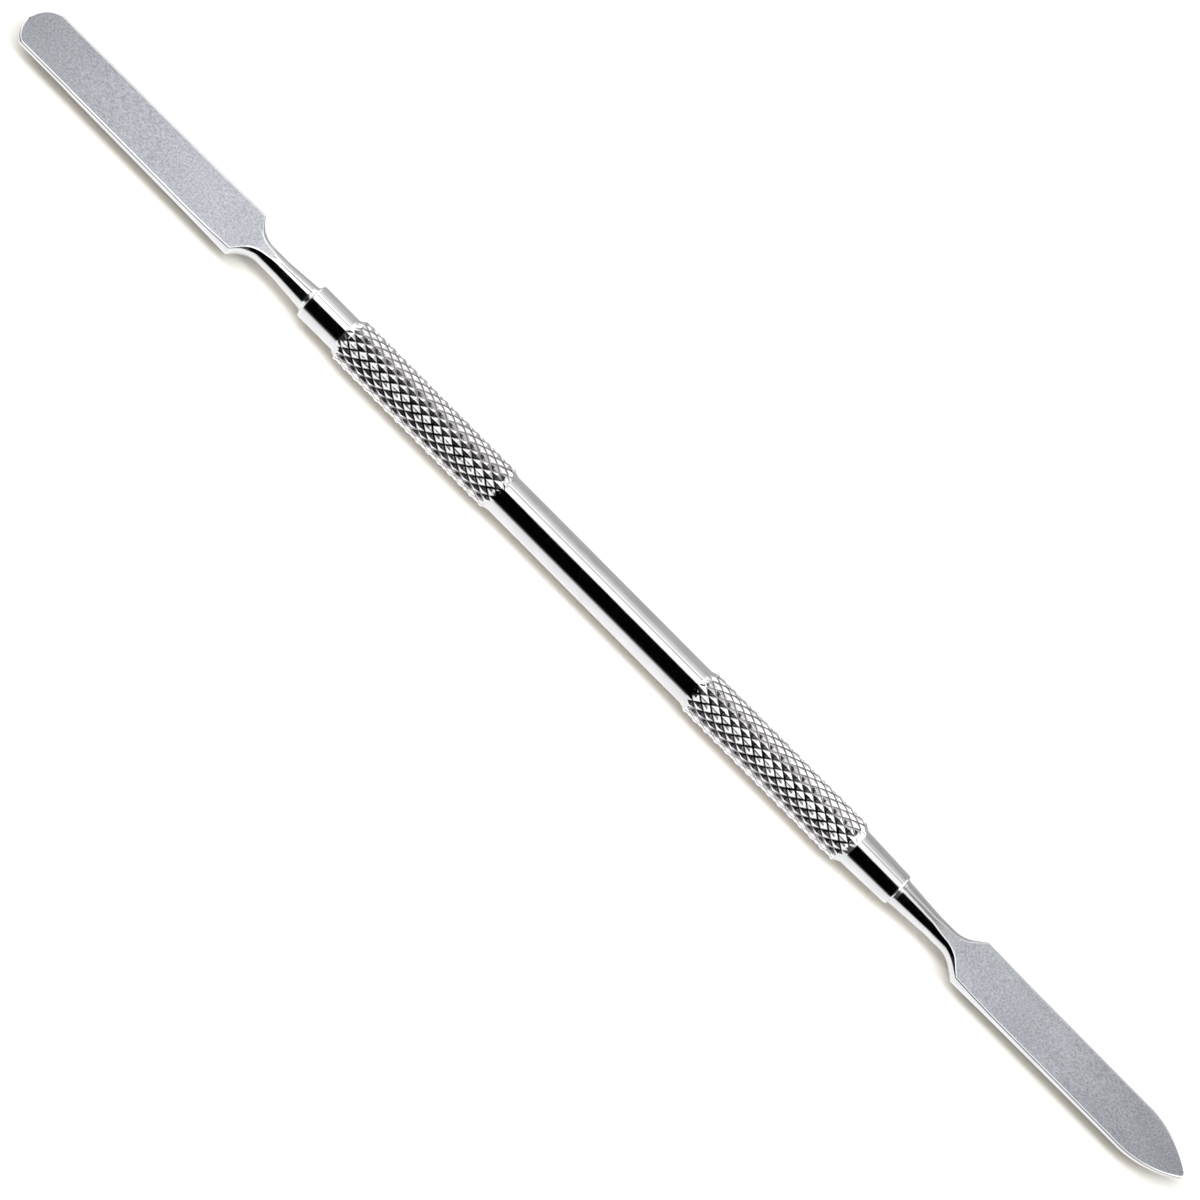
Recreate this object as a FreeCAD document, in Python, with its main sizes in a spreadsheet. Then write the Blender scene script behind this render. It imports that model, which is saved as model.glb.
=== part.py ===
import FreeCAD, Part
import math
import os
import Sketcher

# A double-ended spudger: a turned steel bar with two diamond-knurled grips, and a flat blade fixed in each end.
# The tool lies along X with its origin on the axis at mid-length. The rounded blade points to -X and the
# leaf-pointed blade to +X, and both blades are flat in the XY plane. All lengths are in millimetres.

SIZES = [
    # The turned bar. Its left end carries the rounded blade and its right end the pointed one.
    ("handle_length", 91.6),
    ("middle_radius", 2.5),
    ("left_band_length", 5.4),
    ("left_band_radius", 2.28),
    ("right_band_length", 6.8),
    ("right_band_radius", 2.32),
    ("right_end_radius", 2.08),
    ("end_rounding", 0.3),
    ("core_radius", 2.0),
    # The diamond knurl: crossing helical grooves that leave pyramids and fade out at both ends.
    ("knurl_length", 24.7),
    ("knurl_fade", 0.87),
    ("knurl_crest_radius", 2.83),
    ("knurl_root_radius", 2.58),
    ("knurl_around", 15),
    ("knurl_along", 14),
    ("knurl_end_step", 0.03),
    # The drilled sockets in the bar's ends, and the tangs that fill them.
    ("socket_radius", 1.15),
    ("socket_depth", 8.5),
    ("drill_tip_length", 0.7),
    ("tang_radius", 1.1),
    ("tang_length", 8.2),
    # The rounded blade piece, measured outwards from the end of the bar.
    ("rounded_reach", 44.3),
    ("rounded_foot_radius", 1.88),
    ("rounded_joint_radius", 1.63),
    ("rounded_waist_radius", 1.3),
    ("rounded_waist_start", 4.6),
    ("rounded_flare_start", 8.66),
    ("rounded_flare_rounding", 3.3),
    ("rounded_shoulder", 10.2),
    ("rounded_shoulder_half_width", 3.16),
    ("rounded_end_half_width", 2.99),
    ("rounded_ramp_length", 11.0),
    ("rounded_ramp_rise", 0.88),
    # The pointed blade piece, measured outwards from the other end of the bar.
    ("pointed_reach", 44.1),
    ("pointed_foot_radius", 1.76),
    ("pointed_joint_radius", 1.69),
    ("pointed_waist_radius", 1.36),
    ("pointed_waist_start", 5.2),
    ("pointed_flare_start", 8.7),
    ("pointed_flare_rounding", 3.5),
    ("pointed_shoulder", 11.0),
    ("pointed_shoulder_half_width", 3.05),
    ("pointed_end_half_width", 3.02),
    ("pointed_ramp_length", 15.4),
    ("pointed_ramp_rise", 1.14),
    # What the two blade pieces share.
    ("foot_length", 0.4),
    ("shoulder_rounding", 0.45),
    ("ramp_past_shoulder", 4.7),
    ("root_half_thickness", 0.55),
    ("end_half_thickness", 0.33),
    # The two end outlines: one flat arc with small corners, and two long arcs that meet in a blunt point.
    ("round_end_radius", 3.3),
    ("round_end_offset", 0.2),
    ("round_end_half_chord", 3.25),
    ("round_end_corner", 0.6),
    ("point_arc_radius", 13.0),
    ("point_half_width", 3.04),
    ("point_rounding", 0.6),
    ("waste_margin", 1.0),
]


def make_sheet(doc):
    """The driving dimensions, one alias to a row."""
    sheet = doc.addObject("Spreadsheet::Sheet", "Sizes")
    for row, (alias, value) in enumerate(SIZES, start=1):
        sheet.set(f"A{row}", alias)
        sheet.set(f"B{row}", str(value))
        sheet.setAlias(f"B{row}", alias)
    doc.recompute()
    return sheet


def size(expression):
    """The number that an expression of sheet cells stands for."""
    return float(sheet.evalExpression(expression))


def bind(item, prop, expression):
    """Tie one property of an object to the sheet."""
    item.setExpression(prop, expression)


def origin_plane(body, role):
    """One of the body's own origin planes."""
    return next(item for item in body.Origin.OriginFeatures if item.Role == role)


def new_sketch(body, name, plane):
    """An empty sketch on one of the body's origin planes."""
    sketch = body.newObject("Sketcher::SketchObject", name)
    sketch.AttachmentSupport = [(origin_plane(body, plane), "")]
    sketch.MapMode = "FlatFace"
    return sketch


def pin_point(sketch, side, x_expression, y_expression):
    """Hold the start of one side at sheet-driven distances from the sketch's origin."""
    for kind, axis, expression in (("DistanceX", -2, x_expression), ("DistanceY", -1, y_expression)):
        if expression == "0":
            sketch.addConstraint(Sketcher.Constraint("PointOnObject", side, 1, axis))
        else:
            value = size(expression)
            index = sketch.addConstraint(Sketcher.Constraint(kind, -1, 1, side, 1, value))
            bind(sketch, f"Constraints[{index}]", expression)


def arc_between(start, end, radius):
    """The short anticlockwise arc of a given radius from one point to another."""
    chord = end - start
    to_centre = FreeCAD.Vector(-chord.y, chord.x, 0).normalize()
    centre = (start + end) / 2 + to_centre * math.sqrt(radius ** 2 - (chord.Length / 2) ** 2)
    circle = Part.Circle(centre, FreeCAD.Vector(0, 0, 1), radius)
    angles = [math.atan2((point - centre).y, (point - centre).x) for point in (start, end)]
    return Part.ArcOfCircle(circle, angles[0], angles[1])


def add_outline(sketch, corners, arcs=None):
    """A closed outline through sheet-driven corners. arcs maps a side's number to its radius expression."""
    arcs = arcs or {}
    first = sketch.GeometryCount
    count = len(corners)
    points = [FreeCAD.Vector(size(x), size(y), 0) for x, y in corners]
    for number in range(count):
        start = points[number]
        end = points[(number + 1) % count]
        if number in arcs:
            sketch.addGeometry(arc_between(start, end, size(arcs[number])), False)
        else:
            sketch.addGeometry(Part.LineSegment(start, end), False)
    for number in range(count):
        following = first + (number + 1) % count
        sketch.addConstraint(Sketcher.Constraint("Coincident", first + number, 2, following, 1))
    for number, (x_expression, y_expression) in enumerate(corners):
        pin_point(sketch, first + number, x_expression, y_expression)
    for number, radius in arcs.items():
        index = sketch.addConstraint(Sketcher.Constraint("Radius", first + number, size(radius)))
        bind(sketch, f"Constraints[{index}]", radius)


def revolve(body, name, sketch):
    """Turn a half profile about its own X axis."""
    turned = body.newObject("PartDesign::Revolution", name)
    turned.Profile = sketch
    turned.ReferenceAxis = (sketch, ["H_Axis"])
    turned.Angle = 360
    sketch.Document.recompute()
    return turned


def cut_through(body, name, sketch):
    """Cut an outline right through the body, both ways from its sketch."""
    volume = body.Shape.Volume
    pocket = body.newObject("PartDesign::Pocket", name)
    pocket.Profile = sketch
    pocket.Type = "ThroughAll"
    pocket.SideType = "Symmetric"
    sketch.Document.recompute()
    if not body.Shape.Volume < volume:
        raise RuntimeError(f"{name} cut nothing")
    return pocket


def round_edges(body, name, feature, wanted, radius):
    """Fillet the edges of a feature that the test picks out."""
    edges = [f"Edge{number}" for number, edge in enumerate(feature.Shape.Edges, start=1) if wanted(edge)]
    if not edges:
        raise RuntimeError(f"{name} found no edge")
    fillet = body.newObject("PartDesign::Fillet", name)
    fillet.Base = (feature, edges)
    bind(fillet, "Radius", radius)
    body.Document.recompute()
    return fillet


def circle_at(x, radius):
    """A test for the full circle of one radius about the X axis at one x."""
    def wanted(edge):
        curve = edge.Curve
        if curve.TypeId != "Part::GeomCircle":
            return False
        return abs(curve.Center.x - x) < 1e-4 and abs(curve.Radius - radius) < 1e-4
    return wanted


def upright_beyond(x):
    """A test for edges that stand parallel to Z, or nearly, beyond one x."""
    def wanted(edge):
        box = edge.BoundBox
        return box.XMin > x and box.ZLength > 0.1 and box.ZLength > 3 * max(box.XLength, box.YLength)
    return wanted


# The bar's ends and the knurls' starts along X.
LEFT_END = "(Sizes.rounded_reach - Sizes.pointed_reach - Sizes.handle_length) / 2"
RIGHT_END = f"{LEFT_END} + Sizes.handle_length"
LEFT_KNURL = f"{LEFT_END} + Sizes.left_band_length"
RIGHT_KNURL = f"{RIGHT_END} - Sizes.right_band_length - Sizes.knurl_length"


def make_turned_bar(doc):
    """The bar before knurling, slimmer than the grooves' floor where the knurls go."""
    body = doc.addObject("PartDesign::Body", "turned_bar")
    profile = new_sketch(body, "bar_profile", "XZ_Plane")
    add_outline(profile, [
        (LEFT_END, "0"),
        (LEFT_END, "Sizes.left_band_radius"),
        (LEFT_KNURL, "Sizes.left_band_radius"),
        (LEFT_KNURL, "Sizes.core_radius"),
        (f"{LEFT_KNURL} + Sizes.knurl_length", "Sizes.core_radius"),
        (f"{LEFT_KNURL} + Sizes.knurl_length", "Sizes.middle_radius"),
        (RIGHT_KNURL, "Sizes.middle_radius"),
        (RIGHT_KNURL, "Sizes.core_radius"),
        (f"{RIGHT_KNURL} + Sizes.knurl_length", "Sizes.core_radius"),
        (f"{RIGHT_KNURL} + Sizes.knurl_length", "Sizes.right_band_radius"),
        (RIGHT_END, "Sizes.right_end_radius"),
        (RIGHT_END, "0"),
    ])
    turned = revolve(body, "turned_profile", profile)
    left = circle_at(size(LEFT_END), size("Sizes.left_band_radius"))
    right = circle_at(size(RIGHT_END), size("Sizes.right_end_radius"))
    body.Tip = round_edges(body, "rounded_ends", turned, lambda edge: left(edge) or right(edge),
                           "Sizes.end_rounding")
    doc.recompute()
    return body


def knurl_rings(start_radius, end_radius):
    """Rings of points from one end of a knurl to the other.

    On each ring inside the knurl, pyramid tips alternate with the crossings of the grooves, half a pitch
    out of step with its neighbours. The first and last rings are even, where the grooves fade out.
    """
    around = 2 * round(size("Sizes.knurl_around"))
    stations = 2 * round(size("Sizes.knurl_along"))
    fade = size("Sizes.knurl_fade")
    step = (size("Sizes.knurl_length") - 2 * fade) / stations
    crest = size("Sizes.knurl_crest_radius")
    root = size("Sizes.knurl_root_radius")

    def ring(x, radii):
        turns = [2 * math.pi * number / around for number in range(around)]
        return [FreeCAD.Vector(x, radius * math.cos(turn), radius * math.sin(turn))
                for turn, radius in zip(turns, radii)]

    rings = [ring(0, [start_radius] * around)]
    for station in range(stations + 1):
        radii = [crest if (station + number) % 2 else root for number in range(around)]
        rings.append(ring(fade + station * step, radii))
    rings.append(ring(2 * fade + stations * step, [end_radius] * around))
    return rings


def make_knurl(doc, name, start, start_radius, end_radius):
    """One knurled grip as a closed solid of flat facets, to be joined to the bar."""
    step = size("Sizes.knurl_end_step")
    rings = knurl_rings(start_radius - step, end_radius - step)
    around = len(rings[0])
    points = [point for ring in rings for point in ring]
    facets = []
    for row in range(len(rings) - 1):
        for number in range(around):
            here = row * around + number
            beside = row * around + (number + 1) % around
            ahead = here + around
            across = beside + around
            # The shared diagonal of each pair of facets is a groove's floor.
            if (row + number) % 2:
                facets += [(here, across, beside), (here, ahead, across)]
            else:
                facets += [(here, ahead, beside), (beside, ahead, across)]
    for ring_start, x, flip in ((0, rings[0][0].x, 1), (len(points) - around, rings[-1][0].x, -1)):
        centre = len(points)
        points.append(FreeCAD.Vector(x, 0, 0))
        for number in range(around):
            fan = (centre, ring_start + number, ring_start + (number + 1) % around)
            facets.append(fan[::flip])
    shell = Part.Shape()
    shell.makeShapeFromMesh((points, facets), 1e-4)
    solid = Part.Solid(Part.Shell(shell.Faces))
    knurl = doc.addObject("Part::Feature", name)
    knurl.Shape = solid.removeSplitter()
    bind(knurl, "Placement.Base.x", start)
    doc.recompute()
    return knurl


def make_drill(doc, name, mouth, turn):
    """The space that a drill leaves: a round hole with a conical bottom, going in from its mouth along X."""
    hole = doc.addObject("Part::Cylinder", f"{name}_hole")
    bind(hole, "Radius", "Sizes.socket_radius")
    bind(hole, "Height", "Sizes.socket_depth")
    tip = doc.addObject("Part::Cone", f"{name}_tip")
    bind(tip, "Radius1", "Sizes.socket_radius")
    tip.Radius2 = 0
    bind(tip, "Height", "Sizes.drill_tip_length")
    bind(tip, "Placement.Base.z", "Sizes.socket_depth")
    drill = doc.addObject("Part::Fuse", name)
    drill.Base = hole
    drill.Tool = tip
    drill.Placement = FreeCAD.Placement(FreeCAD.Vector(0, 0, 0), FreeCAD.Rotation(FreeCAD.Vector(0, 1, 0), turn))
    bind(drill, "Placement.Base.x", mouth)
    doc.recompute()
    return drill


def make_handle(doc):
    """The finished bar: turned, knurled and drilled at both ends."""
    bar = make_turned_bar(doc)
    left_knurl = make_knurl(doc, "left_knurl", LEFT_KNURL, size("Sizes.left_band_radius"),
                            size("Sizes.middle_radius"))
    right_knurl = make_knurl(doc, "right_knurl", RIGHT_KNURL, size("Sizes.middle_radius"),
                             size("Sizes.right_band_radius"))
    knurled = doc.addObject("Part::MultiFuse", "knurled_bar")
    knurled.Shapes = [bar, left_knurl, right_knurl]
    drills = doc.addObject("Part::MultiFuse", "drills")
    drills.Shapes = [make_drill(doc, "left_drill", LEFT_END, 90), make_drill(doc, "right_drill", RIGHT_END, -90)]
    handle = doc.addObject("Part::Cut", "handle")
    handle.Base = knurled
    handle.Tool = drills
    doc.recompute()
    return handle


def make_shank(body, side):
    """The turned shank, shoulder and full-width bar that a blade is ground from, with its tang behind x = 0."""
    profile = new_sketch(body, f"{side}_profile", "XZ_Plane")
    add_outline(profile, [
        ("-Sizes.tang_length", "0"),
        ("-Sizes.tang_length", "Sizes.tang_radius"),
        ("0", "Sizes.tang_radius"),
        ("0", f"Sizes.{side}_foot_radius"),
        ("Sizes.foot_length", f"Sizes.{side}_joint_radius"),
        (f"Sizes.{side}_waist_start", f"Sizes.{side}_waist_radius"),
        (f"Sizes.{side}_flare_start", f"Sizes.{side}_waist_radius"),
        (f"Sizes.{side}_shoulder", f"Sizes.{side}_shoulder_half_width"),
        (f"Sizes.{side}_reach", f"Sizes.{side}_end_half_width"),
        (f"Sizes.{side}_reach", "0"),
    ])
    turned = revolve(body, f"{side}_turned", profile)
    flare = circle_at(size(f"Sizes.{side}_flare_start"), size(f"Sizes.{side}_waist_radius"))
    hollow = round_edges(body, f"{side}_flare_hollow", turned, flare, f"Sizes.{side}_flare_rounding")
    shoulder = circle_at(size(f"Sizes.{side}_shoulder"), size(f"Sizes.{side}_shoulder_half_width"))
    return round_edges(body, f"{side}_shoulder_corner", hollow, shoulder, "Sizes.shoulder_rounding")


def grind_faces(body, side):
    """Grind both faces: a ramp down the shank, then a long taper to the end of the blade."""
    flats = new_sketch(body, f"{side}_flats", "XZ_Plane")
    ramp_end = f"Sizes.{side}_shoulder + Sizes.ramp_past_shoulder"
    ramp_start = f"{ramp_end} - Sizes.{side}_ramp_length"
    past_end = f"Sizes.{side}_reach + Sizes.waste_margin"
    outside = f"Sizes.{side}_shoulder_half_width + Sizes.waste_margin"
    for sign in ("", "-"):
        add_outline(flats, [
            (ramp_start, f"{sign}(Sizes.root_half_thickness + Sizes.{side}_ramp_rise)"),
            (ramp_end, f"{sign}Sizes.root_half_thickness"),
            (past_end, f"{sign}Sizes.end_half_thickness"),
            (past_end, f"{sign}({outside})"),
            (ramp_start, f"{sign}({outside})"),
        ])
    return cut_through(body, f"{side}_ground_faces", flats)


def trim_end(body, side, start, half_width, tip_corners, arcs, middle="0"):
    """Cut away everything outside an end outline, given its first x, its half width there and its tip corners."""
    waste = new_sketch(body, f"{side}_end_outline", "XY_Plane")
    past_end = f"Sizes.{side}_reach + Sizes.waste_margin"
    outside = f"Sizes.{side}_shoulder_half_width + Sizes.waste_margin"
    add_outline(waste, [
        (start, f"{half_width} + {middle}"),
        (start, outside),
        (past_end, outside),
        (past_end, f"-({outside})"),
        (start, f"-({outside})"),
        (start, f"-({half_width}) + {middle}"),
        *tip_corners,
    ], arcs)
    return cut_through(body, f"{side}_end", waste)


def make_rounded_blade(doc):
    """The blade with the rounded end, pointing to -X. Its end arc is ground a little off centre."""
    body = doc.addObject("PartDesign::Body", "rounded_blade")
    make_shank(body, "rounded")
    grind_faces(body, "rounded")
    arc_start = ("Sizes.rounded_reach - Sizes.round_end_radius"
                 " + sqrt(Sizes.round_end_radius ^ 2 - Sizes.round_end_half_chord ^ 2)")
    trimmed = trim_end(body, "rounded", arc_start, "Sizes.round_end_half_chord", [],
                       {5: "Sizes.round_end_radius"}, "Sizes.round_end_offset")
    near_end = size("Sizes.rounded_reach - Sizes.round_end_radius")
    body.Tip = round_edges(body, "rounded_end_corners", trimmed, upright_beyond(near_end),
                           "Sizes.round_end_corner")
    body.Placement = FreeCAD.Placement(FreeCAD.Vector(0, 0, 0), FreeCAD.Rotation(FreeCAD.Vector(0, 0, 1), 180))
    bind(body, "Placement.Base.x", LEFT_END)
    doc.recompute()
    return body


def make_pointed_blade(doc):
    """The blade with the leaf-shaped point, pointing to +X."""
    body = doc.addObject("PartDesign::Body", "pointed_blade")
    make_shank(body, "pointed")
    grind_faces(body, "pointed")
    radius = "Sizes.point_arc_radius"
    rounding = "Sizes.point_rounding"
    # Each long arc's centre is this far beyond the blade's centre line.
    beyond = f"({radius} - Sizes.point_half_width)"
    reach = f"(sqrt(({radius} - {rounding}) ^ 2 - {beyond} ^ 2))"
    arc_start = f"Sizes.pointed_reach - {rounding} - {reach}"
    # The long arcs run into the tip's small arc at these distances along and beside the centre line.
    along = f"{arc_start} + {reach} * {radius} / ({radius} - {rounding})"
    beside = f"{beyond} * {rounding} / ({radius} - {rounding})"
    body.Tip = trim_end(body, "pointed", arc_start, "Sizes.point_half_width",
                        [(along, f"-{beside}"), (along, beside)], {5: radius, 6: rounding, 7: radius})
    bind(body, "Placement.Base.x", RIGHT_END)
    doc.recompute()
    return body


def check_document(doc, nodes):
    """Stop if any object failed or any sub-part's shape isn't one sound solid."""
    for item in doc.Objects:
        if "Invalid" in item.State or "Error" in item.State:
            raise RuntimeError(f"{item.Name} failed: {item.State}")
    for node in nodes:
        shape = node.Shape
        if shape.isNull() or not shape.isValid() or len(shape.Solids) != 1:
            raise RuntimeError(f"{node.Name} isn't one valid solid")


doc = FreeCAD.newDocument("spudger")
sheet = make_sheet(doc)
nodes = [make_handle(doc), make_rounded_blade(doc), make_pointed_blade(doc)]
for node in nodes:
    node.Label = node.Name
doc.recompute()
check_document(doc, nodes)
os.makedirs("parts", exist_ok=True)
for node in nodes:
    node.Shape.exportStep(f"parts/{node.Label}.step")
    box = node.Shape.BoundBox
    print(f"{node.Label}: {node.Shape.Volume:.1f} mm3, {len(node.Shape.Faces)} faces,"
          f" x {box.XMin:.2f} to {box.XMax:.2f}, y {box.YMin:.2f} to {box.YMax:.2f},"
          f" z {box.ZMin:.2f} to {box.ZMax:.2f}")
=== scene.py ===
import math
import random

import bmesh
import bpy
from mathutils import Matrix, Vector


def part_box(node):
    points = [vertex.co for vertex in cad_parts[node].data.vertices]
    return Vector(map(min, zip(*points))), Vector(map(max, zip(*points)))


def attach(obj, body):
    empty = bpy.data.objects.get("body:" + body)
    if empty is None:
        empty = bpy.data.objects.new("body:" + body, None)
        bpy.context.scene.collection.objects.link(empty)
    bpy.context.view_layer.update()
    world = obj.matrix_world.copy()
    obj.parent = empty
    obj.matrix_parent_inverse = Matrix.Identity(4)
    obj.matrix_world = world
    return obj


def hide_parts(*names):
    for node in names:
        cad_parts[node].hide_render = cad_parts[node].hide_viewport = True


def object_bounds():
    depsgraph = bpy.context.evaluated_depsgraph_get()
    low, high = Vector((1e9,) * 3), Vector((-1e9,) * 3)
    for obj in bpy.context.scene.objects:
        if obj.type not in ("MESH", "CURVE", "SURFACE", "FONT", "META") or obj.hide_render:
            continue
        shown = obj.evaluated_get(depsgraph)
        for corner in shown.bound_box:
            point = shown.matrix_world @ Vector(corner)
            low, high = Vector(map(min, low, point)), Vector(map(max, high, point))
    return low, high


# A double-ended steel spudger on a pale studio floor. The three pieces of the frame are replaced by finer
# meshes of the same size: the knurled handle, the rounded blade and the pointed blade. Sizes below are in
# millimetres, unless a comment says otherwise.

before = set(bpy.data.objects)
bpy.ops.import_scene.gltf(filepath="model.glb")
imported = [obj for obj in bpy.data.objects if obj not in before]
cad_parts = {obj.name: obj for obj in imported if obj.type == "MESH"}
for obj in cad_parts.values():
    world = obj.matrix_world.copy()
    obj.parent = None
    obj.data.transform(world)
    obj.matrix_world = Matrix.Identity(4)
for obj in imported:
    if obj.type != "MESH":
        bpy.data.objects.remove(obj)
CAD_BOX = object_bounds()
MM = 0.001

# The handle's ends come from the frame. Everything on it is measured from them.
HANDLE_LOW, HANDLE_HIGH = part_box("handle")
LEFT_END = HANDLE_LOW.x / MM
RIGHT_END = HANDLE_HIGH.x / MM
LEFT_BAND_LENGTH = 5.4
LEFT_BAND_RADIUS = 2.28
MIDDLE_RADIUS = 2.5
RIGHT_BAND_LENGTH = 6.8
RIGHT_BAND_RADIUS = 2.32
RIGHT_END_RADIUS = 2.08
END_ROUNDING = 0.3
SOCKET_RADIUS = 1.15
SOCKET_DEPTH = 8.5
DRILL_TIP_LENGTH = 0.7

# The knurl: pyramids between two crossing families of helical grooves.
KNURL_LENGTH = 24.7
KNURL_FADE = 0.87
KNURL_CREST = 2.83
KNURL_ROOT = 2.58
# How far above the groove root the painted groove shade reaches, in millimetres.
GROOVE_SHADE = 0.09
KNURL_AROUND = 15
KNURL_ALONG = 14
PYRAMID_TOP = 0.93
CELL_STEPS = 6
RING = 2 * KNURL_AROUND * CELL_STEPS

TANG_LENGTH = 8.2
TANG_RADIUS = 1.1
FOOT_LENGTH = 0.4
SHOULDER_ROUNDING = 0.45
RAMP_PAST_SHOULDER = 4.7
ROOT_HALF_THICKNESS = 0.55
END_HALF_THICKNESS = 0.33
EDGE_ROLL = 0.1
SOFT_ROLL = 0.75
FLARE_ROLL_LENGTH = 1.5
EDGE_SLOPE = math.radians(17)
GROUND_TOLERANCE = 0.003
# Painted shade darkens the satin colour towards the tips, between these distances from the middle in metres.
TIP_SHADE_FROM = 0.064
TIP_SHADE_TO = 0.09

ROUNDED = {
    "reach": 44.3, "foot": 1.88, "joint": 1.63, "waist": 1.3, "waist_start": 4.6, "flare_start": 8.66,
    "flare_rounding": 3.3, "shoulder": 10.2, "shoulder_half_width": 3.16, "end_half_width": 2.99,
    "ramp_length": 11.0, "ramp_rise": 0.88,
}
POINTED = {
    "reach": 44.1, "foot": 1.76, "joint": 1.69, "waist": 1.36, "waist_start": 5.2, "flare_start": 8.7,
    "flare_rounding": 3.5, "shoulder": 11.0, "shoulder_half_width": 3.05, "end_half_width": 3.02,
    "ramp_length": 15.4, "ramp_rise": 1.14,
}
ROUND_END_RADIUS = 3.3
ROUND_END_OFFSET = 0.2
ROUND_END_CORNER = 0.6
POINT_ARC_RADIUS = 13.0
POINT_HALF_WIDTH = 3.04
POINT_ROUNDING = 0.6
JOINT_ROUNDING = 0.5
WAIST_ROUNDING = 6.0
STRAIGHT_END = 9.0

# How finely the pieces are drawn, and how steep an edge is before it shows as one.
FACE_SHARES = (0, 0.2, 0.4, 0.6, 0.8, 0.93, 0.985)
EDGE_STEPS = 12
SIDE_SHARES = (0.04, 0.2, 0.4, 0.6, 0.8, 1)
SECTION_STEP = 0.45
FADE_STEPS = 7
PATH_GUARD = 0.05
PLACE_TOLERANCE = 1e-4
SHARP_EDGE = math.radians(28)


def spread(start, end, count):
    """Evenly spaced values from start to end, both included."""
    return [start + (end - start) * number / count for number in range(count + 1)]


def new_piece(name, rows, materials, is_second=None):
    """A closed mesh through rings of points, welded where they meet. Some faces may take another material."""
    mesh = bpy.data.meshes.new(name)
    build = bmesh.new()
    grid = [[build.verts.new(Vector(point) * MM) for point in row] for row in rows]
    width = len(rows[0])
    for row in range(len(grid) - 1):
        for column in range(width):
            beside = (column + 1) % width
            corners = [grid[row][column], grid[row][beside], grid[row + 1][beside], grid[row + 1][column]]
            face = build.faces.new(corners)
            if is_second and is_second([corner.co / MM for corner in corners]):
                face.material_index = 1
    bmesh.ops.remove_doubles(build, verts=build.verts, dist=1e-7)
    bmesh.ops.dissolve_degenerate(build, edges=build.edges, dist=1e-8)
    bmesh.ops.recalc_face_normals(build, faces=build.faces)
    for face in build.faces:
        face.smooth = True
    for edge in build.edges:
        if len(edge.link_faces) == 2 and edge.calc_face_angle() > SHARP_EDGE:
            edge.smooth = False
    build.to_mesh(mesh)
    build.free()
    piece = bpy.data.objects.new(name, mesh)
    for material in materials:
        mesh.materials.append(material)
    bpy.context.scene.collection.objects.link(piece)
    return piece


def rounded_path(corners):
    """A path through (x, radius, rounding) corners, with an arc at each corner that has a rounding."""
    path = []
    for number, (x, radius, rounding) in enumerate(corners):
        here = Vector((x, radius))
        if not rounding:
            path.append(here)
            continue
        before = (Vector(corners[number - 1][:2]) - here).normalized()
        after = (Vector(corners[number + 1][:2]) - here).normalized()
        half_turn = before.angle(after) / 2
        setback = rounding / math.tan(half_turn)
        centre = here + (before + after).normalized() * (rounding / math.sin(half_turn))
        first = here + before * setback - centre
        last = here + after * setback - centre
        sweep = first.angle_signed(last)
        for turn in spread(0, -sweep, 8):
            arm = Vector((first.x * math.cos(turn) - first.y * math.sin(turn),
                          first.x * math.sin(turn) + first.y * math.cos(turn)))
            path.append(centre + arm)
    return path


def knurl_height(along, around, bumps):
    """Height of the knurl from 0 in a groove to 1 on a pyramid's tip, at a place in half-pitch units."""
    first = (along + around) / 2
    second = (along - around) / 2
    height = 2 * min(abs(first - round(first)), abs(second - round(second)))
    tip = bumps.get((math.floor(first), math.floor(second) % KNURL_AROUND), 1)
    return min(height * tip, PYRAMID_TOP)


def knurl_rows(start, start_radius, end_radius, seed):
    """Rings of points along one knurl, fading into the plain bar at both ends."""
    draw = random.Random(seed)
    half_pitch = (KNURL_LENGTH - 2 * KNURL_FADE) / (2 * KNURL_ALONG)
    bumps = {(a, b): draw.uniform(0.9, 1.06) for a in range(-20, 40) for b in range(KNURL_AROUND)}
    places = spread(0, KNURL_FADE, FADE_STEPS)[:-1]
    places += spread(KNURL_FADE, KNURL_LENGTH - KNURL_FADE, 2 * KNURL_ALONG * CELL_STEPS)
    places += spread(KNURL_LENGTH - KNURL_FADE, KNURL_LENGTH, FADE_STEPS)[1:]
    rows = []
    for place in places:
        share = min(1, min(place, KNURL_LENGTH - place) / KNURL_FADE)
        plain = start_radius if place < KNURL_LENGTH / 2 else end_radius
        row = []
        for column in range(RING):
            turn = 2 * math.pi * column / RING
            height = knurl_height((place - KNURL_FADE) / half_pitch, column / CELL_STEPS, bumps)
            knurled = KNURL_ROOT + (KNURL_CREST - KNURL_ROOT) * height
            radius = plain + (knurled - plain) * share
            row.append((start + place, radius * math.cos(turn), radius * math.sin(turn)))
        rows.append(row)
    return rows


def plain_rows(path):
    """Rings of points that turn a path of (x, radius) about the X axis."""
    turns = [2 * math.pi * column / RING for column in range(RING)]
    return [[(x, radius * math.cos(turn), radius * math.sin(turn)) for turn in turns] for x, radius in path]


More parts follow.
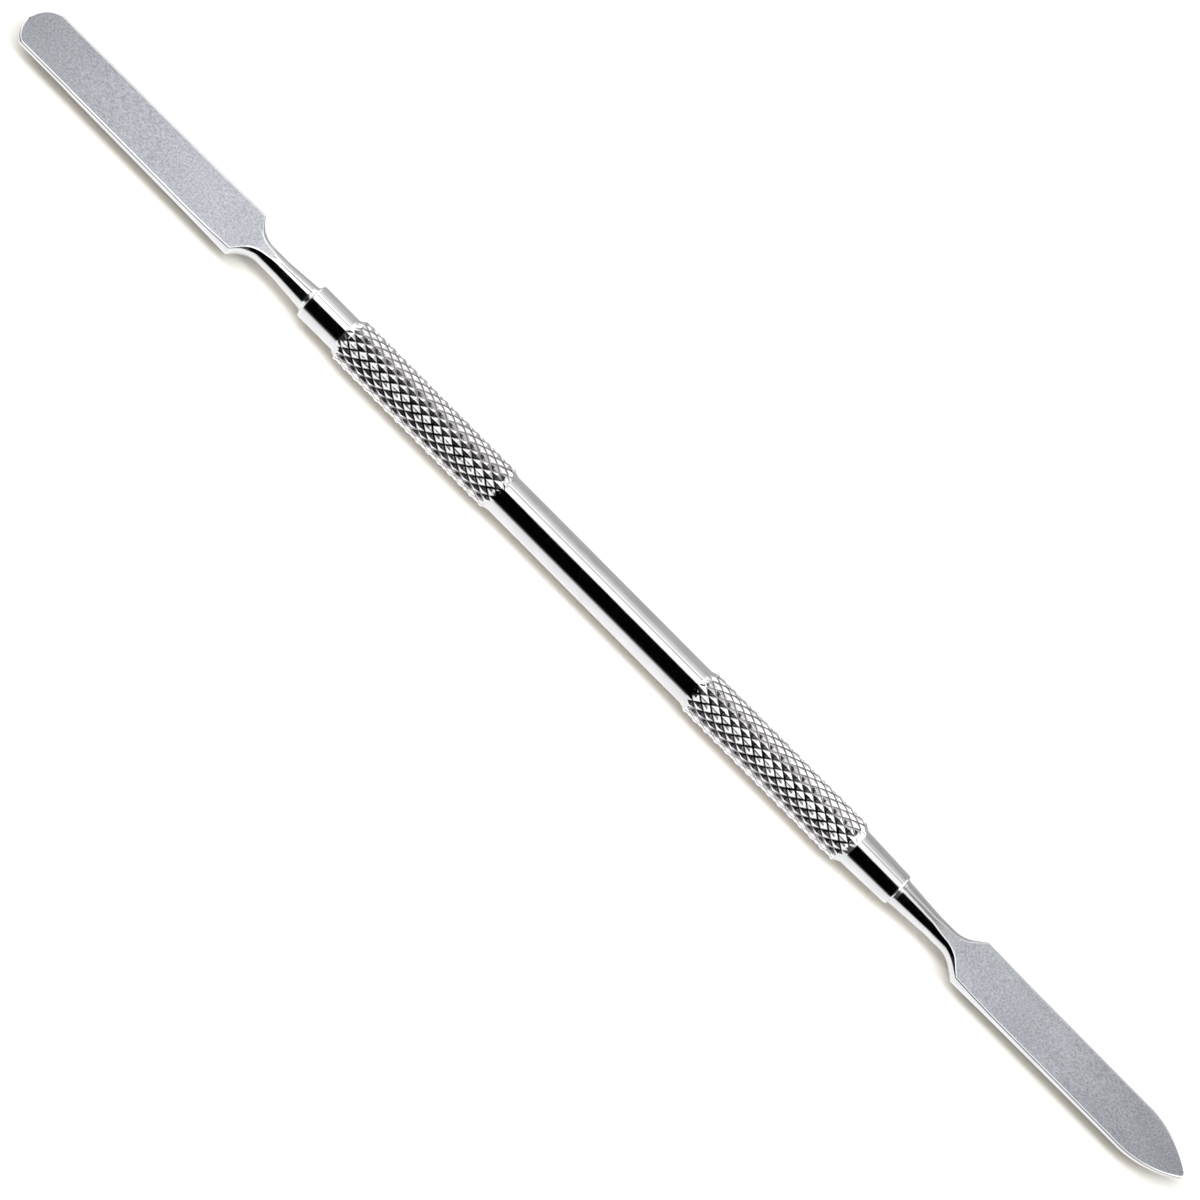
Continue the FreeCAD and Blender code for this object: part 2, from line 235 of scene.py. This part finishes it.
def make_handle(polished, knurled):
    """The turned bar with its two knurled grips and the drilled sockets in its ends."""
    left_knurl = LEFT_END + LEFT_BAND_LENGTH
    right_knurl = RIGHT_END - RIGHT_BAND_LENGTH - KNURL_LENGTH
    left = rounded_path([
        (LEFT_END + SOCKET_DEPTH + DRILL_TIP_LENGTH, 0, 0),
        (LEFT_END + SOCKET_DEPTH, SOCKET_RADIUS, 0),
        (LEFT_END, SOCKET_RADIUS, 0),
        (LEFT_END, LEFT_BAND_RADIUS - END_ROUNDING - PATH_GUARD, 0),
        (LEFT_END, LEFT_BAND_RADIUS, END_ROUNDING),
        (LEFT_END + END_ROUNDING + PATH_GUARD, LEFT_BAND_RADIUS, 0),
        (left_knurl - PATH_GUARD, LEFT_BAND_RADIUS, 0),
    ])
    middle_places = spread(left_knurl + KNURL_LENGTH + PATH_GUARD, right_knurl - PATH_GUARD, 12)
    middle = [(x, MIDDLE_RADIUS) for x in middle_places]
    right = rounded_path([
        (RIGHT_END - RIGHT_BAND_LENGTH + PATH_GUARD, RIGHT_BAND_RADIUS, 0),
        (RIGHT_END - END_ROUNDING - PATH_GUARD, RIGHT_END_RADIUS + 0.012, 0),
        (RIGHT_END, RIGHT_END_RADIUS, END_ROUNDING),
        (RIGHT_END, RIGHT_END_RADIUS - END_ROUNDING - PATH_GUARD, 0),
        (RIGHT_END, SOCKET_RADIUS, 0),
        (RIGHT_END - SOCKET_DEPTH, SOCKET_RADIUS, 0),
        (RIGHT_END - SOCKET_DEPTH - DRILL_TIP_LENGTH, 0, 0),
    ])
    rows = plain_rows(left)
    rows += knurl_rows(left_knurl, LEFT_BAND_RADIUS, MIDDLE_RADIUS, 3)
    rows += plain_rows(middle)
    rows += knurl_rows(right_knurl, MIDDLE_RADIUS, RIGHT_BAND_RADIUS, 5)
    rows += plain_rows(right)

    def is_knurled(corners):
        first = KNURL_FADE - PLACE_TOLERANCE
        last = KNURL_LENGTH - KNURL_FADE + PLACE_TOLERANCE
        starts = (left_knurl, right_knurl)
        return all(any(first < corner.x - start < last for start in starts) for corner in corners)

    return new_piece("knurled_handle", rows, [polished, knurled], is_knurled)


def edge_rolls(x, spec):
    """Radii of the soft and the tight part of the rolled edge, which become one behind the shoulder."""
    share = max(0, min(1, (spec["shoulder"] - x) / FLARE_ROLL_LENGTH))
    return SOFT_ROLL, EDGE_ROLL + (SOFT_ROLL - EDGE_ROLL) * share


def roll_level(height, rolls):
    """How high the centre of the edge's tight part is, under a face at a height."""
    soft, tight = rolls
    return height - soft + (soft - tight) * math.cos(EDGE_SLOPE)


def roll_length(rolls, turn):
    """Length of a rolled edge that ends in a side whose outward direction rises by an angle."""
    soft, tight = rolls
    bend = min(EDGE_SLOPE, math.pi / 2 - turn)
    return soft * bend + tight * (math.pi / 2 - bend - turn)


def roll_point(distance, rolls, turn):
    """A point on a rolled edge, as (out, up) from its tight part's centre, by distance from the face."""
    soft, tight = rolls
    bend = min(EDGE_SLOPE, math.pi / 2 - turn)
    if distance < soft * bend:
        angle = math.pi / 2 - distance / soft
        shift = soft - tight
        out = soft * math.cos(angle) - shift * math.sin(bend)
        return (out, soft * math.sin(angle) - shift * math.cos(bend))
    angle = math.pi / 2 - bend - (distance - soft * bend) / tight
    return (tight * math.cos(angle), tight * math.sin(angle))


def section_at(radius, half_thickness, rolls):
    """A quarter section where the round bar meets the ground faces, as (y, z) points from face to side."""
    soft, tight = rolls
    inner = radius - tight
    level = roll_level(half_thickness, rolls)
    if level < inner:
        turn = math.asin(level / inner)
    else:
        turn = math.pi / 2
    flat = inner * math.cos(turn) - (soft - tight) * math.sin(EDGE_SLOPE)
    edge = roll_length(rolls, turn)
    total = flat + edge + radius * turn

    def point(distance):
        if distance < flat:
            return (distance, half_thickness)
        distance -= flat
        if distance < edge:
            out, up = roll_point(distance, rolls, turn)
            return (inner * math.cos(turn) + out, inner * math.sin(turn) + up)
        angle = max(0, turn - (distance - edge) / radius)
        return (radius * math.cos(angle), radius * math.sin(angle))

    face_end = max(flat, 0.2 * radius)
    edge_end = max(flat + edge, face_end + min(0.2 * radius, tight * math.pi / 2))
    return [point(distance) for distance in section_places(face_end, edge_end, total)]


def section_places(face_end, edge_end, total):
    """Distances along a quarter section at which it gets a point."""
    places = [face_end * share for share in FACE_SHARES]
    places += spread(face_end, edge_end, EDGE_STEPS)
    places += [edge_end + (total - edge_end) * share for share in SIDE_SHARES]
    return places


def full_section(quarter_right, quarter_left):
    """The whole section from two upper quarters, as (y, z) points in order round it."""
    right = quarter_right + [(y, -z) for y, z in reversed(quarter_right[:-1])]
    left = quarter_left + [(y, -z) for y, z in reversed(quarter_left[:-1])]
    return right + [(-y, z) for y, z in reversed(left[1:-1])]


def smooth_larger(first, second, blend):
    """The larger of two values, with a soft change from one to the other."""
    gap = max(blend - abs(first - second), 0) / blend
    return max(first, second) + gap * gap * blend / 4


def half_thickness(x, spec):
    """Half the blade piece's ground thickness at a distance from the bar's end."""
    ramp_end = spec["shoulder"] + RAMP_PAST_SHOULDER
    ramp = ROOT_HALF_THICKNESS + (ramp_end - x) * spec["ramp_rise"] / spec["ramp_length"]
    taper = (ROOT_HALF_THICKNESS - END_HALF_THICKNESS) / (spec["reach"] + 1 - ramp_end)
    return smooth_larger(ramp, ROOT_HALF_THICKNESS - (x - ramp_end) * taper, 0.2)


def arc_points(centre, radius, start, end, steps):
    """Points and outward directions along an arc, given its outward directions in degrees."""
    points = []
    for angle in spread(math.radians(start), math.radians(end), steps):
        out = Vector((math.cos(angle), math.sin(angle)))
        points.append((Vector(centre) + out * (radius - EDGE_ROLL), out))
    return points


def round_end(spec, side):
    """One side of the rounded end's outline, from the straight edge to the middle of the end."""
    centre = Vector((spec["reach"] - ROUND_END_RADIUS, ROUND_END_OFFSET))
    across = side * (spec["end_half_width"] - ROUND_END_CORNER) - centre.y
    along = math.sqrt((ROUND_END_RADIUS - ROUND_END_CORNER) ** 2 - across ** 2)
    turn = math.degrees(math.atan2(across, along))
    corner = centre + Vector((along, across))
    points = arc_points(corner, ROUND_END_CORNER, side * 90, turn, 8)
    return points + arc_points(centre, ROUND_END_RADIUS, turn, 0, 14)[1:]


def leaf_end(spec, side):
    """One side of the leaf-shaped point's outline, from the straight edge to the tip."""
    beyond = POINT_ARC_RADIUS - POINT_HALF_WIDTH
    tip = Vector((spec["reach"] - POINT_ROUNDING, 0))
    along = math.sqrt((POINT_ARC_RADIUS - POINT_ROUNDING) ** 2 - beyond ** 2)
    centre = Vector((tip.x - along, -side * beyond))
    start = math.degrees(math.pi / 2 - math.acos((spec["end_half_width"] + beyond) / POINT_ARC_RADIUS))
    turn = math.degrees(math.atan2(beyond, along))
    points = arc_points(centre, POINT_ARC_RADIUS, side * start, side * turn, 18)
    return points + arc_points(tip, POINT_ROUNDING, side * turn, 0, 6)[1:]


def end_rows(spec, outline, start):
    """Sections from the straight part of the blade round its end, each joining two points of the outline."""
    sides = {}
    for side in (1, -1):
        points = outline(spec, side)
        first, out = points[0]
        straight = [(Vector((x, first.y)), out) for x in spread(start, first.x, 6)[:-1]]
        sides[side] = straight + points
    rows = []
    for right, left in zip(sides[1], sides[-1]):
        middle = (right[0] + left[0]) / 2
        quarters = []
        for base, out in (right, left):
            quarters.append(end_quarter(middle, base, out, spec))
        upper_right, upper_left = quarters
        ring = upper_right + [(x, y, -z) for x, y, z in reversed(upper_right[:-1])]
        other = upper_left + [(x, y, -z) for x, y, z in reversed(upper_left[:-1])]
        rows.append(ring + list(reversed(other[1:-1])))
    return rows


def end_quarter(middle, base, out, spec):
    """A quarter section from the middle of the face to the rim, met along the outline's outward way."""
    rolls = (SOFT_ROLL, EDGE_ROLL)
    turn = math.asin(roll_level(END_HALF_THICKNESS, rolls) / (spec["end_half_width"] - EDGE_ROLL))
    level = roll_level(half_thickness(base.x, spec), rolls)
    face_end = base - out * (SOFT_ROLL - EDGE_ROLL) * math.sin(EDGE_SLOPE)
    side_height = level + EDGE_ROLL * math.sin(turn)
    side_radius = side_height / math.sin(turn)
    side_centre = (EDGE_ROLL - side_radius) * math.cos(turn)
    points = []
    for share in FACE_SHARES:
        place = middle.lerp(face_end, share)
        points.append((place.x, place.y, half_thickness(place.x, spec)))
    for distance in spread(0, roll_length(rolls, turn), EDGE_STEPS):
        outwards, up = roll_point(distance, rolls, turn)
        place = base + out * outwards
        points.append((place.x, place.y, level + up))
    for share in SIDE_SHARES:
        angle = turn * (1 - share)
        place = base + out * (side_centre + side_radius * math.cos(angle))
        points.append((place.x, place.y, side_radius * math.sin(angle)))
    return points


def make_blade(name, spec, outline, base_x, direction, polished, ground):
    """One blade piece: tang, shank, shoulder, ground faces and end, built outwards from the bar's end."""
    slope_end = spec["reach"] - STRAIGHT_END
    share = (slope_end - spec["shoulder"]) / (spec["reach"] - spec["shoulder"])
    width_there = spec["shoulder_half_width"] + (spec["end_half_width"] - spec["shoulder_half_width"]) * share
    path = rounded_path([
        (-TANG_LENGTH, 0.001, 0),
        (-TANG_LENGTH, TANG_RADIUS, 0),
        (0, TANG_RADIUS, 0),
        (0, spec["foot"], 0),
        (FOOT_LENGTH, spec["joint"], JOINT_ROUNDING),
        (spec["waist_start"], spec["waist"], WAIST_ROUNDING),
        (spec["flare_start"], spec["waist"], spec["flare_rounding"]),
        (spec["shoulder"], spec["shoulder_half_width"], SHOULDER_ROUNDING),
        (slope_end, width_there, 0),
    ])
    fine = []
    for here, following in zip(path, path[1:]):
        gap = (following - here).length
        steps = max(1, round(gap / SECTION_STEP)) if here.x > -0.01 else 1
        fine += [here.lerp(following, number / steps) for number in range(steps)]
    rows = []
    for place in fine:
        rolls = edge_rolls(place.x, spec)
        if place.y > max(rolls):
            quarter = section_at(place.y, half_thickness(place.x, spec), rolls)
        else:
            turns = spread(math.pi / 2, 0, len(FACE_SHARES) + EDGE_STEPS + len(SIDE_SHARES))
            quarter = [(place.y * math.cos(turn), place.y * math.sin(turn)) for turn in turns]
        rows.append([(place.x, y, z) for y, z in full_section(quarter, quarter)])
    rows += end_rows(spec, outline, slope_end)
    rows = [[(base_x + direction * x, direction * y, z) for x, y, z in row] for row in rows]

    def is_ground(corners):
        faces = [half_thickness((corner.x - base_x) * direction, spec) for corner in corners]
        return max(abs(abs(corner.z) - face) for corner, face in zip(corners, faces)) < GROUND_TOLERANCE

    return new_piece(name, rows, [polished, ground], is_ground)


# Materials.

def new_material(name):
    """A new metal material, with its node tree and its shader."""
    material = bpy.data.materials.new(name)
    material.use_nodes = True
    tree = material.node_tree
    shader = tree.nodes["Principled BSDF"]
    shader.inputs["Metallic"].default_value = 1.0
    return material, tree, shader


def add(tree, kind, inputs=None, **settings):
    """A node with its settings and its input values or links."""
    node = tree.nodes.new(kind)
    for name, value in settings.items():
        setattr(node, name, value)
    for name, value in (inputs or {}).items():
        if isinstance(value, bpy.types.NodeSocket):
            tree.links.new(value, node.inputs[name])
        else:
            node.inputs[name].default_value = value
    return node


def stretched_noise(tree, stretch, scale, detail=4.0):
    """Noise over the object's own coordinates in metres, stretched along its axes."""
    place = add(tree, "ShaderNodeTexCoord").outputs["Object"]
    mapping = add(tree, "ShaderNodeMapping", {"Vector": place, "Scale": stretch})
    noise = add(tree, "ShaderNodeTexNoise", {"Vector": mapping.outputs["Vector"], "Scale": scale,
                                             "Detail": detail})
    return noise.outputs["Fac"]


def ranged(tree, value, low, high, from_low=0.3, from_high=0.7):
    """A value moved to another range."""
    node = add(tree, "ShaderNodeMapRange", {"Value": value, "From Min": from_low, "From Max": from_high,
                                            "To Min": low, "To Max": high})
    return node.outputs["Result"]


def polished_steel():
    """Bright turned and polished stainless steel, with faint lathe rings and wiping marks."""
    material, tree, shader = new_material("polished_steel")
    rings = stretched_noise(tree, (9000, 60, 60), 1.0, 3.0)
    smears = stretched_noise(tree, (260, 420, 420), 1.0, 5.0)
    shade = ranged(tree, smears, 0.0, 1.0)
    colour = add(tree, "ShaderNodeMix", {"Factor": shade, "A": (0.66, 0.66, 0.67, 1),
                                         "B": (0.74, 0.74, 0.75, 1)}, data_type="RGBA")
    tree.links.new(colour.outputs["Result"], shader.inputs["Base Color"])
    tree.links.new(ranged(tree, smears, 0.07, 0.13), shader.inputs["Roughness"])
    bump = add(tree, "ShaderNodeBump", {"Height": rings, "Strength": 0.05, "Distance": 0.00002})
    tree.links.new(bump.outputs["Normal"], shader.inputs["Normal"])
    return material


def knurled_steel():
    """Rolled knurl: bright facets, with painted shade darkening the colour down in the grooves."""
    material, tree, shader = new_material("knurled_steel")
    place = add(tree, "ShaderNodeTexCoord").outputs["Object"]
    flat = add(tree, "ShaderNodeVectorMath", {0: place, 1: (0, 1, 1)}, operation="MULTIPLY").outputs["Vector"]
    radius = add(tree, "ShaderNodeVectorMath", {0: flat}, operation="LENGTH").outputs["Value"]
    # Painted shade: the colour darkens from the crests down to the groove root, standing in for the shade
    # that falls in the grooves.
    height = ranged(tree, radius, 0.0, 1.0, KNURL_ROOT * MM, (KNURL_ROOT + GROOVE_SHADE) * MM)
    wear = stretched_noise(tree, (900, 1400, 1400), 1.0, 4.0)
    bright = add(tree, "ShaderNodeMix", {"Factor": ranged(tree, wear, 0.0, 1.0), "A": (0.8, 0.78, 0.795, 1),
                                         "B": (0.93, 0.92, 0.93, 1)}, data_type="RGBA")
    colour = add(tree, "ShaderNodeMix", {"Factor": height, "A": (0.1, 0.085, 0.095, 1),
                                         "B": bright.outputs["Result"]}, data_type="RGBA")
    tree.links.new(colour.outputs["Result"], shader.inputs["Base Color"])
    tree.links.new(ranged(tree, wear, 0.09, 0.18), shader.inputs["Roughness"])
    bump = add(tree, "ShaderNodeBump", {"Height": wear, "Strength": 0.15, "Distance": 0.00003})
    tree.links.new(bump.outputs["Normal"], shader.inputs["Normal"])
    return material


def ground_steel():
    """Satin-ground stainless steel with a fine grain, running out where the shank starts, and painted shade
    that darkens it towards the tips.
    """
    material, tree, shader = new_material("ground_steel")
    grain = stretched_noise(tree, (3800, 5600, 5600), 1.0, 6.0)
    clouds = stretched_noise(tree, (120, 300, 300), 1.0, 3.0)
    scratches = stretched_noise(tree, (220, 14000, 14000), 1.0, 2.0)
    spread_out = ranged(tree, clouds, 0.0, 0.06)
    mixed = add(tree, "ShaderNodeMath", {0: grain, 1: spread_out}, operation="ADD").outputs[0]
    shade = ranged(tree, mixed, 0.0, 1.0, 0.35, 0.71)
    satin = add(tree, "ShaderNodeMix", {"Factor": shade, "A": (0.295, 0.305, 0.332, 1),
                                        "B": (0.515, 0.53, 0.568, 1)}, data_type="RGBA")
    place = add(tree, "ShaderNodeTexCoord").outputs["Object"]
    axes = add(tree, "ShaderNodeSeparateXYZ", {0: place})
    # Painted shade: the satin colour is multiplied darker towards the tips, standing in for the light falling
    # off along the blades.
    reach = add(tree, "ShaderNodeMath", {0: axes.outputs["X"]}, operation="ABSOLUTE").outputs[0]
    painted_tip_shade = add(tree, "ShaderNodeMix", {"Factor": ranged(tree, reach, 0.0, 1.0, TIP_SHADE_FROM, TIP_SHADE_TO),
                                       "A": satin.outputs["Result"], "B": (0.68, 0.68, 0.68, 1)},
               data_type="RGBA", blend_type="MULTIPLY")
    depth = add(tree, "ShaderNodeMath", {0: axes.outputs["Z"]}, operation="ABSOLUTE").outputs[0]
    polish = ranged(tree, depth, 0.0, 1.0, 1.05 * MM, 1.35 * MM)
    colour = add(tree, "ShaderNodeMix", {"Factor": polish, "A": painted_tip_shade.outputs["Result"],
                                         "B": (0.7, 0.7, 0.71, 1)}, data_type="RGBA")
    tree.links.new(colour.outputs["Result"], shader.inputs["Base Color"])
    rough = add(tree, "ShaderNodeMix", {"Factor": polish, "A": ranged(tree, clouds, 0.31, 0.35), "B": 0.12})
    tree.links.new(rough.outputs["Result"], shader.inputs["Roughness"])
    fine = add(tree, "ShaderNodeBump", {"Height": grain, "Strength": 0.3, "Distance": 0.00001})
    lines = add(tree, "ShaderNodeBump", {"Height": scratches, "Strength": 0.12, "Distance": 0.00001,
                                         "Normal": fine.outputs["Normal"]})
    tree.links.new(lines.outputs["Normal"], shader.inputs["Normal"])
    return material


def floor_paper():
    """The pale studio paper."""
    material, tree, shader = new_material("studio_paper")
    shader.inputs["Metallic"].default_value = 0.0
    shader.inputs["Roughness"].default_value = 0.9
    fibres = stretched_noise(tree, (400, 400, 400), 1.0, 6.0)
    colour = add(tree, "ShaderNodeMix", {"Factor": fibres, "A": (0.90, 0.895, 0.88, 1),
                                         "B": (0.92, 0.915, 0.90, 1)}, data_type="RGBA")
    tree.links.new(colour.outputs["Result"], shader.inputs["Base Color"])
    return material


# The studio. Its sizes are in metres.

VIEW_TILT = math.radians(25)
CAMERA_DISTANCE = 0.55
CAMERA_ALONG = 0.0171
CAMERA_TARGET = (0.00022, -0.00077, 0)
AXIS_ANGLE = math.radians(45.147)
PIXELS_PER_METRE = 9102.8
IMAGE_SIZE = 1200
SENSOR = 36.0
TENT_RADIUS = 0.6
TENT_HALF_LENGTH = 1.2
TENT_STRENGTH = 1.0
# Light levels round the tent, by the angle from straight up towards +Y: dark panel, two soft boxes, wall.
TENT_ACROSS = (
    (-90, 0.35), (-84, 0.1), (-78, 0.001), (-7.6, 0.001), (-6.2, 1.6), (23.4, 1.5), (24.0, 0.1), (27.0, 0.1),
    (27.8, 1.4), (39, 1.3), (43, 0.85), (50, 0.92), (58, 0.74), (66, 0.6), (72, 0.56), (90, 0.56),
)
# How the soft boxes fade towards their ends, by the distance along the tool in metres.
TENT_ALONG = (
    (-0.34, 0.4), (-0.25, 1.0), (-0.18, 1.35), (-0.145, 1.5), (-0.12, 1.25), (-0.08, 1.0), (0.06, 1.0),
    (0.1, 0.85), (0.2, 0.68), (0.26, 0.65), (0.34, 0.5),
)
# Light levels on the tent's left and right ends, by the same angle.
TENT_LEFT = ((-90, 0.02), (-8, 0.05), (12, 1.2), (50, 1.8), (90, 1.5))
TENT_RIGHT = ((-90, 0.1), (-25, 0.12), (5, 2.0), (50, 2.4), (90, 1.8))
TENT_SIDE_START = 0.22
TENT_SIDE_FULL = 0.3
CARD_GAP = 0.0003
CARD_REACH = 0.5
# Light levels on the grey card behind the tool and the white one in front of it, by Y in metres.
GREY_CARD = ((0.0032, 0.95), (0.006, 0.75), (0.01, 0.55), (0.06, 0.54))
WHITE_CARD = ((-0.06, 0.95), (-0.02, 1.06), (-0.01, 1.17), (-0.005, 1.24), (-0.003, 1.29))
FLOOR_LIGHT_DISTANCE = 1.0
FLOOR_LIGHT_LENGTH = 3.0


def make_camera():
    """The camera: high on the -Y side, rolled so that the tool runs from upper left to lower right."""
    back = CAMERA_DISTANCE * math.sin(VIEW_TILT)
    place = Vector((CAMERA_ALONG, -back, CAMERA_DISTANCE * math.cos(VIEW_TILT)))
    forward = (Vector(CAMERA_TARGET) - place).normalized()
    along = (Vector((1, 0, 0)) - forward * forward.x).normalized()
    across = along.cross(forward)
    if across.y < 0:
        across = -across
    right = along * math.cos(AXIS_ANGLE) + across * math.sin(AXIS_ANGLE)
    up = across * math.cos(AXIS_ANGLE) - along * math.sin(AXIS_ANGLE)
    data = bpy.data.cameras.new("camera")
    data.sensor_width = SENSOR
    data.lens = PIXELS_PER_METRE * CAMERA_DISTANCE * SENSOR / IMAGE_SIZE
    data.clip_start = 0.01
    data.clip_end = 10
    camera = bpy.data.objects.new("camera", data)
    rotation = Matrix((right, up, -forward)).transposed()
    camera.matrix_world = Matrix.Translation(place) @ rotation.to_4x4()
    bpy.context.scene.collection.objects.link(camera)
    bpy.context.scene.camera = camera


def sheet_mesh(name, rows, material):
    """A sheet through rows of points, in metres, that is part of the studio and not of the tool."""
    build = bmesh.new()
    grid = [[build.verts.new(point) for point in row] for row in rows]
    for row, following in zip(grid, grid[1:]):
        for number in range(len(row) - 1):
            build.faces.new([row[number], row[number + 1], following[number + 1], following[number]])
    mesh = bpy.data.meshes.new(name)
    build.to_mesh(mesh)
    build.free()
    mesh.materials.append(material)
    sheet = bpy.data.objects.new(name, mesh)
    bpy.context.scene.collection.objects.link(sheet)
    return sheet


def seen_in_metal_only(sheet):
    """Let a studio sheet show in reflections, and nowhere else."""
    sheet.visible_camera = False
    sheet.visible_diffuse = False
    sheet.visible_shadow = False
    sheet.visible_transmission = False
    sheet.visible_volume_scatter = False


def glowing(name):
    """A new glowing material for a reflector, with its node tree and its light node."""
    material = bpy.data.materials.new(name)
    material.use_nodes = True
    material.cycles.emission_sampling = "NONE"
    tree = material.node_tree
    tree.nodes.remove(tree.nodes["Principled BSDF"])
    glow = add(tree, "ShaderNodeEmission")
    tree.links.new(glow.outputs["Emission"], tree.nodes["Material Output"].inputs["Surface"])
    return material, tree, glow


def graded(tree, value, stops):
    """A curve of light levels over a value, given as (value, level) stops from one end to the other."""
    start = stops[0][0]
    length = stops[-1][0] - start
    share = ranged(tree, value, 0, 1, start, stops[-1][0])
    ramp = add(tree, "ShaderNodeValToRGB", {"Fac": share})
    elements = ramp.color_ramp.elements
    while len(elements) < len(stops):
        elements.new(0.5)
    for element, (place, level) in zip(elements, stops):
        element.position = (place - start) / length
        element.color = (level, level, level, 1)
    return ramp.outputs["Color"]


def make_tent():
    """The soft boxes and dark panels round the tool, as one half pipe along it that only its metal shows."""
    material, tree, glow = glowing("tent_light")
    place = add(tree, "ShaderNodeTexCoord").outputs["Object"]
    axes = add(tree, "ShaderNodeSeparateXYZ", {0: place})
    angle = add(tree, "ShaderNodeMath", {0: axes.outputs["Y"], 1: axes.outputs["Z"]}, operation="ARCTAN2")
    degrees = add(tree, "ShaderNodeMath", {0: angle.outputs[0]}, operation="DEGREES")
    across = graded(tree, degrees.outputs[0], TENT_ACROSS)
    along = graded(tree, axes.outputs["X"], TENT_ALONG)
    level = add(tree, "ShaderNodeMix", {"Factor": 1.0, "A": across, "B": along}, data_type="RGBA",
                blend_type="MULTIPLY")
    shades = level.outputs["Result"]
    for side, levels in ((-1, TENT_LEFT), (1, TENT_RIGHT)):
        outwards = add(tree, "ShaderNodeMath", {0: axes.outputs["X"], 1: side}, operation="MULTIPLY")
        share = graded(tree, outwards.outputs[0], ((TENT_SIDE_START, 0), (TENT_SIDE_FULL, 1)))
        beside = graded(tree, degrees.outputs[0], levels)
        mixed = add(tree, "ShaderNodeMix", {"Factor": share, "A": shades, "B": beside}, data_type="RGBA")
        shades = mixed.outputs["Result"]
    tree.links.new(shades, glow.inputs["Color"])
    glow.inputs["Strength"].default_value = TENT_STRENGTH
    rows = []
    for x in spread(-TENT_HALF_LENGTH, TENT_HALF_LENGTH, 24):
        rows.append([(x, TENT_RADIUS * math.sin(turn), TENT_RADIUS * math.cos(turn))
                     for turn in spread(-math.pi / 2, math.pi / 2, 96)])
    first = [(-TENT_HALF_LENGTH, 0, 0)] * len(rows[0])
    last = [(TENT_HALF_LENGTH, 0, 0)] * len(rows[0])
    seen_in_metal_only(sheet_mesh("light_tent", [first, *rows, last], material))


def make_card(name, levels, far_edge, height):
    """A card just over the paper, from beside the tool to a far edge, with light levels by Y in metres."""
    material, tree, glow = glowing(name)
    place = add(tree, "ShaderNodeTexCoord").outputs["Object"]
    depth = add(tree, "ShaderNodeSeparateXYZ", {0: place}).outputs["Y"]
    tree.links.new(graded(tree, depth, levels), glow.inputs["Color"])
    near_edge = min((levels[0][0], levels[-1][0]), key=abs)
    rows = [[(x, y, height + CARD_GAP) for y in (near_edge, far_edge)] for x in (-CARD_REACH, CARD_REACH)]
    seen_in_metal_only(sheet_mesh(name, rows, material))


def floor_light(name, low, high, level, colour):
    """A long soft light between two angles from straight up, in degrees towards +Y, unseen in the metal."""
    middle = math.radians((low + high) / 2)
    half = math.radians((high - low) / 2)
    width = 2 * FLOOR_LIGHT_DISTANCE * math.tan(half)
    data = bpy.data.lights.new(name, "AREA")
    data.shape = "RECTANGLE"
    data.size = FLOOR_LIGHT_LENGTH
    data.size_y = width
    data.color = colour
    share = (math.sin(math.radians(high)) - math.sin(math.radians(low))) / 2
    data.energy = level / share * math.pi * FLOOR_LIGHT_LENGTH * width
    light = bpy.data.objects.new(name, data)
    depth = FLOOR_LIGHT_DISTANCE * math.sin(middle)
    light.location = (0, depth, FLOOR_LIGHT_DISTANCE * math.cos(middle))
    light.rotation_euler = (-middle, 0, 0)
    light.visible_glossy = False
    light.visible_camera = False
    bpy.context.scene.collection.objects.link(light)


def make_studio(floor_height):
    """The pale paper, what lights it, and what the metal reflects."""
    reach = spread(-1.5, 1.5, 8)
    sheet_mesh("studio_floor", [[(x, y, floor_height) for y in reach] for x in reach], floor_paper())
    floor_light("front_fill", -80, -22, 0.24, (1.0, 0.92, 0.76))
    floor_light("front_key", -22, -9, 0.22, (1.0, 0.96, 0.89))
    floor_light("key", -9, 7, 0.85, (0.985, 0.99, 1.0))
    floor_light("back_fill", 7, 60, 0.28, (0.97, 0.98, 1.0))
    make_tent()
    make_card("grey_card", GREY_CARD, TENT_RADIUS, floor_height)
    make_card("white_card", WHITE_CARD, -TENT_RADIUS, floor_height)
    world = bpy.data.worlds.new("studio_world")
    bpy.context.scene.world = world
    world.use_nodes = True
    world.node_tree.nodes["Background"].inputs["Strength"].default_value = 0.0
    bpy.context.scene.view_settings.view_transform = "Standard"


POLISHED = polished_steel()
GROUND = ground_steel()
handle = make_handle(POLISHED, knurled_steel())
rounded_blade = make_blade("rounded_blade_piece", ROUNDED, round_end, LEFT_END, -1, POLISHED, GROUND)
pointed_blade = make_blade("pointed_blade_piece", POINTED, leaf_end, RIGHT_END, 1, POLISHED, GROUND)
for piece, node, slot in (
    (handle, "handle", "polished_steel"),
    (rounded_blade, "rounded_blade", "ground_steel"),
    (pointed_blade, "pointed_blade", "ground_steel"),
):
    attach(piece, "root")
    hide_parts(node)

make_studio(CAD_BOX[0][2])
make_camera()
